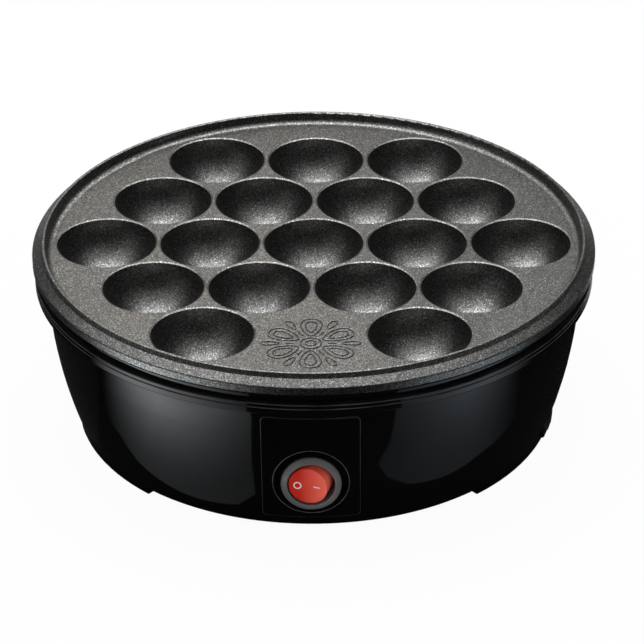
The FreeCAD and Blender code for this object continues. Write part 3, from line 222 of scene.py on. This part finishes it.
def panel_black():
    """The wall's gloss black, with a painted highlight: a paler line along the panel's rounded outline."""
    look = gloss_surface("panel_gloss", 0.25)

    def past_corner(letter, middle, reach):
        off_middle = look.math("ABSOLUTE", look.math("SUBTRACT", look.parts(look.place)[letter], middle))
        return look.math("MAXIMUM", look.math("SUBTRACT", off_middle, reach - PANEL_CORNER), 0.0)

    across = past_corner("X", 0.0, PANEL_HIGH.x)
    up = past_corner("Z", (PANEL_LOW.z + PANEL_HIGH.z) / 2, (PANEL_HIGH.z - PANEL_LOW.z) / 2)
    beyond = look.length(look.node("CombineXYZ", {"X": across, "Y": up}).outputs[0])
    # painted highlight: the base colour goes paler along the rounded outline, where the edge would catch the
    # light
    outline = look.levels(beyond, 0.0, 1.0, PANEL_CORNER - 0.45 * MM, PANEL_CORNER - 0.15 * MM)
    return black_with_painted_highlight(look, outline, 0.035)


def satin_black(name, shade, roughness, grain=1600.0, level=0.5):
    """Fine-textured black moulding."""
    look = Surface(name, Specular_IOR_Level=level)
    fresh = (shade, shade, shade * 1.04)
    worn = (shade * 1.5, shade * 1.5, shade * 1.55)
    look.link(look.ramp(look.noise(60.0, 3.0), (0.35, fresh), (0.75, worn)), "Base Color")
    look.link(look.levels(look.noise(grain * 0.6, 2.0), roughness - 0.08, roughness + 0.1), "Roughness")
    look.link(look.bump(look.cells(grain, "Distance"), 0.04 * MM, 0.5), "Normal")
    return look.material


def red_lens():
    """Translucent red moulding, with a painted sheen that turns it pale pink towards its raised side."""
    look = Surface(
        "red_lens",
        Subsurface_Weight=0.35,
        Subsurface_Radius=(4.0 * MM, 0.6 * MM, 0.3 * MM),
        Coat_Weight=0.3,
        Coat_Roughness=0.22,
    )
    deep = look.ramp(look.noise(160.0, 2.0), (0.3, (0.52, 0.015, 0.006)), (0.7, (0.60, 0.024, 0.010)))
    # painted sheen: the base colour goes pale pink towards the raised side, standing in for the soft
    # reflection that it catches
    painted_sheen_side = look.levels(look.parts(look.place)["X"], 0.0, 1.0, -5.0 * MM, 6.0 * MM)
    look.link(look.mix(painted_sheen_side, deep, (0.94, 0.165, 0.115)), "Base Color")
    look.link(look.levels(look.noise(900.0, 2.0), 0.15, 0.26), "Roughness")
    look.link(look.bump(look.noise(120.0, 1.0), 0.1 * MM, 0.08), "Normal")
    return look.material


def printed_white():
    look = Surface("printed_white")
    ink = look.ramp(look.noise(2500.0, 2.0), (0.2, (0.62, 0.60, 0.58)), (0.7, (0.82, 0.80, 0.78)))
    look.link(ink, "Base Color")
    look.link(look.levels(look.noise(3000.0), 0.35, 0.55), "Roughness")
    return look.material


def rubber(name, shade):
    """Matt black rubber with a little pale dust on it."""
    look = Surface(name)
    dust = (shade * 2.2, shade * 2.2, shade * 2.1)
    look.link(look.ramp(look.noise(240.0, 4.0), (0.35, grey(shade)), (0.8, dust)), "Base Color")
    look.link(look.levels(look.noise(700.0, 3.0), 0.6, 0.85), "Roughness")
    look.link(look.bump(look.noise(1800.0, 2.0), 0.05 * MM, 0.6), "Normal")
    return look.material


def sheet_metal(name, colour, roughness, run=(1.0, 30.0, 1.0), stain=0.0):
    """Rolled or plated metal: fine streaks along the roll, blotches, and heat stain if any."""
    look = Surface(name, Metallic=1.0)
    darker = tuple(c * 0.72 for c in colour)
    streaks = look.noise(1.0, 3.0, 0.6, look.stretched(*(60.0 * r for r in run)))
    base = look.ramp(streaks, (0.3, darker), (0.7, colour))
    if stain:
        blotch = look.levels(look.noise(45.0, 4.0), 0.0, stain)
        base = look.mix(blotch, base, (0.30, 0.17, 0.07))
    look.link(base, "Base Color")
    look.link(look.levels(look.noise(300.0, 3.0), roughness - 0.08, roughness + 0.12), "Roughness")
    look.link(look.bump(streaks, 0.04 * MM, 0.25), "Normal")
    return look.material


def ceramic():
    look = Surface("ceramic")
    glaze = look.ramp(look.noise(500.0, 4.0), (0.25, (0.70, 0.67, 0.60)), (0.7, (0.86, 0.84, 0.79)))
    look.link(glaze, "Base Color")
    look.link(look.levels(look.noise(900.0), 0.14, 0.34), "Roughness")
    look.link(look.bump(look.noise(1400.0, 2.0), 0.04 * MM, 0.4), "Normal")
    return look.material


def woven_sleeve():
    look = Surface("woven_sleeve", Roughness=0.75)
    weave = look.node("TexChecker", {"Vector": look.place, "Scale": 2600.0}).outputs["Fac"]
    look.link(look.ramp(weave, (0.0, (0.62, 0.58, 0.48)), (1.0, (0.80, 0.77, 0.68))), "Base Color")
    look.link(look.bump(weave, 0.12 * MM, 0.8), "Normal")
    return look.material


def silicone_jacket():
    look = Surface("silicone_jacket")
    skin = look.ramp(look.noise(300.0, 3.0), (0.3, (0.60, 0.59, 0.56)), (0.75, (0.74, 0.73, 0.70)))
    look.link(skin, "Base Color")
    look.link(look.levels(look.noise(900.0), 0.4, 0.6), "Roughness")
    look.link(look.bump(look.noise(1500.0), 0.05 * MM, 0.4), "Normal")
    return look.material


def moulded_white():
    look = Surface("moulded_white")
    resin = look.ramp(look.noise(120.0, 3.0), (0.3, (0.72, 0.69, 0.60)), (0.75, (0.82, 0.80, 0.72)))
    look.link(resin, "Base Color")
    look.link(look.levels(look.noise(700.0), 0.34, 0.55), "Roughness")
    look.link(look.bump(look.noise(1500.0), 0.04 * MM, 0.4), "Normal")
    return look.material


# ---- finishes and edges of the imported solids --------------------------------------------------

# heights of the painted highlight lines: on the ring just above the seam, and on the wall's lip just below it
RING_HIGHLIGHT_HEIGHT = SEAM + 1.4 * MM
LIP_HIGHLIGHT_HEIGHT = SEAM - 0.3 * MM

# degrees between two faces from which their edge stays sharp
PLATE_SHARP_FROM = 18.0
SHARP_FROM = 32.0

zinc = sheet_metal("zinc", (0.60, 0.60, 0.57), 0.3)
tinned = sheet_metal("tinned_brass", (0.70, 0.64, 0.46), 0.28)
jacket = silicone_jacket()

FINISH = {
    "cooking_plate": nonstick(),
    "support_ring": black_with_highlight_line("ring_gloss", RING_HIGHLIGHT_HEIGHT),
    "housing": black_with_highlight_line("wall_gloss", LIP_HIGHLIGHT_HEIGHT),
    "switch_panel": panel_black(),
    "switch_body": satin_black("bezel_satin", 0.105, 0.34, level=1.0),
    "rocker": red_lens(),
    "switch_terminals": tinned,
    "heating_element": sheet_metal("element_sheath", (0.24, 0.24, 0.25), 0.4, (1.0, 1.0, 1.0), 0.35),
    "heater_pins": tinned,
    "heater_insulators": ceramic(),
    "heater_hangers": zinc,
    "hanger_screws": zinc,
    "reflector_dish": sheet_metal("aluminised", (0.62, 0.63, 0.64), 0.3, (1.0, 14.0, 1.0), 0.12),
    "dish_screws": zinc,
    "thermostat": sheet_metal("thermostat_case", (0.66, 0.66, 0.66), 0.26),
    "thermostat_spring": zinc,
    "spring_screws": zinc,
    "thermal_fuse": woven_sleeve(),
    "fuse_clip": zinc,
    "terminal_block": moulded_white(),
    "block_screws": tinned,
    "cord_gland": rubber("gland_rubber", 0.012),
    "bottom_cover": satin_black("cover_satin", 0.02, 0.5, 1200.0),
    "cover_screws": zinc,
    "foot_pads": rubber("pad_rubber", 0.035),
    "supply_lead": jacket,
    "switch_lead": jacket,
    "lamp_lead": jacket,
    "fuse_lead": jacket,
    "heater_lead": jacket,
    "return_lead": jacket,
}


def smooth(obj, sharp_from):
    obj.data.shade_smooth()
    obj.data.set_sharp_from_angle(angle=math.radians(sharp_from))


for name, solid in solids.items():
    solid.data.materials.clear()
    solid.data.materials.append(FINISH[name])
    smooth(solid, PLATE_SHARP_FROM if name == "cooking_plate" else SHARP_FROM)

# ---- pieces of the scene ----------------------------------------------------------------------

RIBBON_SIDES = 8
RIBBON_SINK = 0.02 * MM  # a ribbon's edges lie this far under the surface


def mesh_object(name, bm, material):
    mesh = bpy.data.meshes.new(name)
    bm.to_mesh(mesh)
    bm.free()
    mesh.materials.append(material)
    obj = bpy.data.objects.new(name, mesh)
    bpy.context.scene.collection.objects.link(obj)
    return obj


def piece(name, bm, material, sharp_from):
    bmesh.ops.recalc_face_normals(bm, faces=bm.faces)
    obj = mesh_object(name, bm, material)
    smooth(obj, sharp_from)
    return obj


def ribbon(bm, points, width, height, closed=True):
    """A low rounded ridge along points on a surface, each point with the surface's own normal."""
    rings = []
    count = len(points)
    for i, (point, normal) in enumerate(points):
        before = points[(i - 1) % count][0] if closed or i else point
        after = points[(i + 1) % count][0] if closed or i < count - 1 else point
        along = (after - before).normalized()
        across = normal.cross(along).normalized()
        ring = []
        for k in range(RIBBON_SIDES + 1):
            turn = math.pi * k / RIBBON_SIDES
            offset = across * (math.cos(turn) * width / 2) + normal * (math.sin(turn) * height - RIBBON_SINK)
            ring.append(bm.verts.new(point + offset))
        rings.append(ring)
    spans = list(zip(rings, rings[1:]))
    if closed:
        spans.append((rings[-1], rings[0]))
    for one, other in spans:
        for k in range(RIBBON_SIDES):
            bm.faces.new((one[k], one[k + 1], other[k + 1], other[k]))
        bm.faces.new((one[-1], one[0], other[0], other[-1]))
    if not closed:
        bm.faces.new(rings[0])
        bm.faces.new(list(reversed(rings[-1])))


# a raised rosette on the plate's front flat

ROSETTE_CENTRE = Vector((0.0, -79.4 * MM, PLATE_TOP - RIM_RISE))
ROSETTE_LINE = 0.62 * MM
ROSETTE_HEIGHT = 0.42 * MM
PETALS = 6
# each leaf: how far out its middle is, then half its length and half its width
OUTER_PETAL = (11.9 * MM, 6.4 * MM, 3.9 * MM)
INNER_PETAL = (12.2 * MM, 4.0 * MM, 2.1 * MM)
GAP_LEAF = (15.6 * MM, 3.4 * MM, 1.25 * MM)
LEAF_SWELL = 0.35  # a leaf is wider by this share at its outer end, and slimmer at its inner one
LEAF_POINTS = 36
GAP_STEM = (6.6 * MM, 8.2 * MM, 9.8 * MM)
EYE_RADII = (1.9 * MM, 4.0 * MM)
EYE_POINTS = 40


def rosette_point(reach, across, turn):
    """A point and the flat's normal, so far out along a direction from the rosette's middle."""
    x = reach * math.cos(turn) - across * math.sin(turn)
    y = reach * math.sin(turn) + across * math.cos(turn)
    return ROSETTE_CENTRE + Vector((x, y, 0.0)), Vector((0, 0, 1))


def leaf_loop(leaf, turn):
    """A closed leaf outline along a direction, blunter at its outer end."""
    middle, half_length, half_width = leaf
    loop = []
    for i in range(LEAF_POINTS):
        a = 2 * math.pi * i / LEAF_POINTS
        swell = 1 + LEAF_SWELL * math.cos(a)
        loop.append(rosette_point(middle + half_length * math.cos(a), half_width * swell * math.sin(a), turn))
    return loop


def rosette():
    """Six double petals round two rings, with a small leaf and a stem in each gap."""
    bm = bmesh.new()

    def line(points, closed=True):
        ribbon(bm, points, ROSETTE_LINE, ROSETTE_HEIGHT, closed)

    for k in range(PETALS):
        turn = math.radians(90 + 360 / PETALS * k)
        gap = turn + math.pi / PETALS
        line(leaf_loop(OUTER_PETAL, turn))
        line(leaf_loop(INNER_PETAL, turn))
        line(leaf_loop(GAP_LEAF, gap))
        line([rosette_point(reach, 0, gap) for reach in GAP_STEM], closed=False)
    for radius in EYE_RADII:
        line([rosette_point(radius, 0, 2 * math.pi * i / EYE_POINTS) for i in range(EYE_POINTS)])
    obj = piece("plate_relief", bm, FINISH["cooking_plate"], sharp_from=50.0)
    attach(obj, "plate")


rosette()

# O and I printed on the rocker's hollow face, placed across it from its middle

O_CENTRE = -4.1 * MM
O_RADIUS = 1.35 * MM
O_LINE = 0.5 * MM
O_POINTS = 36
I_START = 2.2 * MM
I_LENGTH = 2.5 * MM
I_LINE = 0.55 * MM
I_STEPS = 5
INK_HEIGHT = 0.06 * MM


def rocker_face(across, up):
    """The point and normal on the rocker's hollow face, so far across and up from its middle."""
    to_axis = math.sqrt(ROCKER_DISH_RADIUS**2 - across * across)
    depth = ROCKER_FRONT - ROCKER_DISH_DEPTH + ROCKER_DISH_RADIUS - to_axis
    turn = Matrix.Rotation(-ROCKER_TILT, 3, "Z")
    normal = Vector((-across, -to_axis, 0.0)).normalized()
    return PIVOT + turn @ Vector((across, -depth, up)), turn @ normal


def rocker_marks():
    bm = bmesh.new()
    turns = [2 * math.pi * i / O_POINTS for i in range(O_POINTS)]
    ring = [rocker_face(O_CENTRE + O_RADIUS * math.cos(a), O_RADIUS * math.sin(a)) for a in turns]
    bar = [rocker_face(I_START + I_LENGTH * i / I_STEPS, 0.0) for i in range(I_STEPS + 1)]
    ribbon(bm, ring, O_LINE, INK_HEIGHT)
    ribbon(bm, bar, I_LINE, INK_HEIGHT, closed=False)
    obj = piece("rocker_marks", bm, printed_white(), sharp_from=50.0)
    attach(obj, "rocker")


rocker_marks()

# the raised hairline round the switch pocket's mouth

HAIRLINE_WIDTH = 0.3 * MM
HAIRLINE_HEIGHT = 0.12 * MM
HAIRLINE_POINTS = 72
SEARCH_LIFT = 2.2 * MM  # from the pivot up to about the middle of the mouth
SEARCH_REACH = 17.6 * MM  # past the mouth on every side
SEARCH_STEP = 0.1 * MM
IN_FRONT = -0.2  # a place on Y well in front of the wall
FACES_OUT = 0.9  # the least that the panel's outside faces away from the part's axis


def mouth_edge(turn):
    """Where the panel's outside ends, coming in to the pocket from one side."""
    panel = solids["switch_panel"]
    edge = None
    for step in range(int(SEARCH_REACH / SEARCH_STEP)):
        reach = SEARCH_REACH - step * SEARCH_STEP
        start = Vector((reach * math.cos(turn), IN_FRONT, PIVOT.z + SEARCH_LIFT + reach * math.sin(turn)))
        hit, point, normal, _ = panel.ray_cast(start, Vector((0, 1, 0)))
        outward = Vector((point.x, point.y, 0)).normalized()
        if not hit or normal.dot(outward) < FACES_OUT:
            return edge
        edge = point, normal
    raise RuntimeError("the pocket's mouth was not found")


def pocket_rim():
    ring = [mouth_edge(2 * math.pi * i / HAIRLINE_POINTS) for i in range(HAIRLINE_POINTS)]
    bm = bmesh.new()
    ribbon(bm, ring, HAIRLINE_WIDTH, HAIRLINE_HEIGHT)
    # the hairline's satin is paler than the wall's black: a painted highlight for the light that its rounded
    # top catches
    obj = piece("pocket_rim", bm, satin_black("rim_painted_highlight", 0.05, 0.3, level=0.8), sharp_from=60.0)
    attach(obj, "base")


pocket_rim()

# ---- floor and cards --------------------------------------------------------------------------

FLOOR_REACH = 7.0
FLOOR_GREY = 0.86
FLOOR_WHITE = 0.955  # how far the floor goes white where the camera or a reflection sees it
MAT_HEIGHT = 0.1 * MM
MAT_POINTS = 64
CARD_HEIGHT = 0.2 * MM

# the bright cards' glow
OUTWARD, FRONTWARD = 0.755, 0.656  # the parts of a unit step along a front diagonal
GLOW_START = 100 * MM  # out along the diagonal
GLOW_WIDTH = 140 * MM  # from the diagonal towards the front
GLOW_NARROWING = 1.5
GLOW_FRONT, GLOW_BACK = -125 * MM, -45 * MM  # along Y, where it begins and ends to fade towards the back
GLOW_RIM, GLOW_END = 220 * MM, 250 * MM  # from the middle, where it begins and ends to fade outwards


def stage_material(name, shader_of):
    material = bpy.data.materials.new(name)
    material.use_nodes = True
    material.node_tree.nodes.clear()
    look = Nodes(material.node_tree)
    look.node("OutputMaterial", {"Surface": shader_of(look)})
    return material


def flat_face(name, corners, height, material):
    bm = bmesh.new()
    bm.faces.new([bm.verts.new((x, y, height)) for x, y in corners])
    obj = mesh_object(name, bm, material)
    return obj


def floor_shader(look):
    """White to the camera and in reflections, with the object's shadow kept faintly."""
    path = look.node("LightPath").outputs
    reflected = look.math("MAXIMUM", path["Is Glossy Ray"], path["Is Transmission Ray"])
    seen = look.math("MAXIMUM", path["Is Camera Ray"], reflected)
    lit = look.node("BsdfDiffuse", {"Color": (*grey(FLOOR_GREY), 1.0)}).outputs[0]
    white = look.node("Emission", {"Strength": 1.0}).outputs[0]
    return look.node("MixShader", {0: look.product(seen, FLOOR_WHITE), 1: lit, 2: white}).outputs[0]


def floor():
    signs = [(-1, -1), (1, -1), (1, 1), (-1, 1)]
    corners = [(x * FLOOR_REACH, y * FLOOR_REACH) for x, y in signs]
    flat_face("floor", corners, 0.0, stage_material("floor", floor_shader))


def card(name, corners, height, strength_of, colour=(1.0, 1.0, 1.0), turn=0.0):
    """A flat card lying round the object that only its gloss sees. Corners in millimetres."""

    def glow(look):
        return look.node("Emission", {"Color": (*colour, 1.0), "Strength": strength_of(look)}).outputs[0]

    places = [(x * MM, y * MM) for x, y in corners]
    obj = flat_face(name, places, height, stage_material(name, glow))
    obj.rotation_euler.z = turn
    obj.visible_camera = False
    obj.visible_diffuse = False
    obj.visible_transmission = False
    obj.visible_shadow = False


def even(strength):
    return lambda look: strength


def diagonal_glow(look, side, near, far, reach, bend):
    """Brightens away from the object along one side's diagonal, and falls off to both sides of it."""
    place = look.node("TexCoord").outputs["Object"]
    out = look.along(place, (side * OUTWARD, -FRONTWARD, 0.0))
    across = look.along(place, (-side * FRONTWARD, -OUTWARD, 0.0))
    back = look.along(place, (0.0, 1.0, 0.0))
    brightening = look.math("POWER", look.fade(out, GLOW_START, GLOW_START + reach, 0.0, 1.0, "LINEAR"), bend)
    level = look.math("ADD", look.product(brightening, far), near)
    narrowed = look.math("POWER", look.fade(across, 0.0, GLOW_WIDTH, 1.0, 0.0, "LINEAR"), GLOW_NARROWING)
    in_front = look.fade(back, GLOW_FRONT, GLOW_BACK, 1.0, 0.0)
    inside = look.fade(look.length(place), GLOW_RIM, GLOW_END, 1.0, 0.0)
    return look.product(level, narrowed, in_front, inside)


def bright_card(name, corners, colour, share_behind, **glow):
    """A bright card in front, and it again behind, turned half round, with a share of its glow."""
    for suffix, turn, share in (("", 0.0, 1.0), ("_behind", math.pi, share_behind)):
        shade = [share * c for c in colour]
        card(name + suffix, corners, CARD_HEIGHT, lambda look: diagonal_glow(look, **glow), shade, turn)


def mat_edge(turn):
    """A point on the dark mat's edge, which reaches far out in front of the object."""
    reach = MAT_REACH + MAT_FURTHER_IN_FRONT * max(0.0, -math.sin(turn))
    return reach * math.cos(turn), reach * math.sin(turn)


# corners in millimetres
MAT_REACH = 900
MAT_FURTHER_IN_FRONT = 1100
MAT = [mat_edge(2 * math.pi * i / MAT_POINTS) for i in range(MAT_POINTS)]
LEFT_CARD = [
    (-127, -44), (-103, -60), (-82, -71), (-62, -83), (-46, -92), (-33, -99), (-28, -108), (-39, -129),
    (-51, -156), (-70, -200), (-110, -330), (-330, -330), (-330, -40),
]  # fmt: skip
RIGHT_CARD = [
    (58, -139), (41, -125), (41, -113), (49, -102), (63, -92), (87, -77), (112, -56), (330, -40),
    (330, -330), (140, -330), (93, -183),
]  # fmt: skip
SIDE_CARD = [(-92, -40), (-300, -40), (-300, 120), (-92, 120)]

floor()
card("dark_mat", MAT, MAT_HEIGHT, even(0.008))
bright_card(
    "card_left",
    LEFT_CARD,
    colour=(0.95, 1.0, 1.03),
    share_behind=0.25,
    side=-1,
    near=0.52,
    far=3.0,
    reach=70 * MM,
    bend=1.7,
)
card("card_side", SIDE_CARD, CARD_HEIGHT, even(0.017))
bright_card(
    "card_right",
    RIGHT_CARD,
    colour=(0.88, 1.0, 1.1),
    share_behind=0.5,
    side=1,
    near=0.35,
    far=0.95,
    reach=104 * MM,
    bend=2.0,
)

# ---- light ------------------------------------------------------------------------------------

WHITE = 1.0
DIFFUSE_LEVEL = 0.8
DARK_GLOSS = 0.015
PALE_GLOSS = 1.5


def studio_world():
    """White to the camera, even to diffuse light, and in gloss a pale backdrop between dark sides."""
    world = bpy.data.worlds.new("studio")
    bpy.context.scene.world = world
    world.use_nodes = True
    look = Nodes(world.node_tree)
    # each fade and band goes by one part of the direction that the ray takes
    x, y, z = look.parts(look.node("TexCoord").outputs["Generated"])
    sides = look.band(x, -1.15, -0.35, 0.08, 0.93)
    horizon = look.product(look.fade(z, 0.3, 0.5, 0.30, 0.0), look.band(x, -0.5, -0.25, 0.25, 0.5))
    heights = look.math("ADD", horizon, look.fade(z, 0.42, 0.87, 0.05, 1.0))
    backdrop = look.product(sides, look.fade(y, -0.8, 0.25, 0.0, 1.0), heights)
    left_fill = look.product(look.fade(x, -0.6, -0.2, 0.1, 0.0), look.band(y, -0.9, -0.45, -0.2, 0.3))
    gloss_level = look.blend(look.math("ADD", backdrop, left_fill), DARK_GLOSS, PALE_GLOSS)
    path = look.node("LightPath").outputs
    unseen_level = look.blend(path["Is Glossy Ray"], DIFFUSE_LEVEL, gloss_level)
    background = world.node_tree.nodes["Background"]
    look.feed(background.inputs["Color"], (1.0, 1.0, 1.0, 1.0))
    look.feed(background.inputs["Strength"], look.blend(path["Is Camera Ray"], unseen_level, WHITE))


def softbox(name, place, target, size, power, colour):
    lamp = bpy.data.lights.new(name, "AREA")
    lamp.shape = "RECTANGLE"
    lamp.size, lamp.size_y = size
    lamp.energy = power
    lamp.color = colour
    obj = bpy.data.objects.new(name, lamp)
    obj.location = place
    aim = Vector(target) - Vector(place)
    obj.rotation_euler = aim.to_track_quat("-Z", "Y").to_euler()
    bpy.context.scene.collection.objects.link(obj)
    obj.visible_camera = False


studio_world()
softbox(
    "overhead",
    (-0.08, 0.34, 1.1),
    target=(0, 0, 0.05),
    size=(0.9, 0.7),
    power=4.6,
    colour=(0.98, 1.0, 1.01),
)
softbox(
    "warm_back",
    (-0.06, 0.32, 0.30),
    target=(0, 0, 0.07),
    size=(0.2, 0.12),
    power=0.05,
    colour=(1.0, 0.86, 0.70),
)

# ---- camera -----------------------------------------------------------------------------------

FOCAL_PX = 3207.8
FRAME_PX = 644
SENSOR_WIDTH = 36.0  # millimetres, as Blender counts it
ELEVATION = math.radians(30.266)
YAW = math.radians(0.863)
ROLL = math.radians(-0.439)
DISTANCE = 1.3091
AIM = Vector((0.02015, 0.0, 0.03705))


def add_camera():
    """The camera that the photograph was taken with."""
    toward = Vector((0.0, math.cos(ELEVATION), -math.sin(ELEVATION)))
    place = AIM - toward * DISTANCE
    turn = Matrix.Rotation(YAW, 3, "Z")
    forward = turn @ toward
    right = turn @ Vector((1.0, 0.0, 0.0))
    up = turn @ Vector((0.0, math.sin(ELEVATION), math.cos(ELEVATION)))
    rolled_right = math.cos(ROLL) * right + math.sin(ROLL) * up
    rolled_up = -math.sin(ROLL) * right + math.cos(ROLL) * up
    basis = Matrix((rolled_right, rolled_up, -forward)).transposed()
    camera = bpy.data.cameras.new("camera")
    camera.sensor_width = SENSOR_WIDTH
    camera.lens = FOCAL_PX * SENSOR_WIDTH / FRAME_PX
    obj = bpy.data.objects.new("camera", camera)
    bpy.context.scene.collection.objects.link(obj)
    obj.matrix_world = Matrix.Translation(place) @ basis.to_4x4()
    bpy.context.scene.camera = obj


add_camera()
bpy.context.scene.view_settings.view_transform = "Standard"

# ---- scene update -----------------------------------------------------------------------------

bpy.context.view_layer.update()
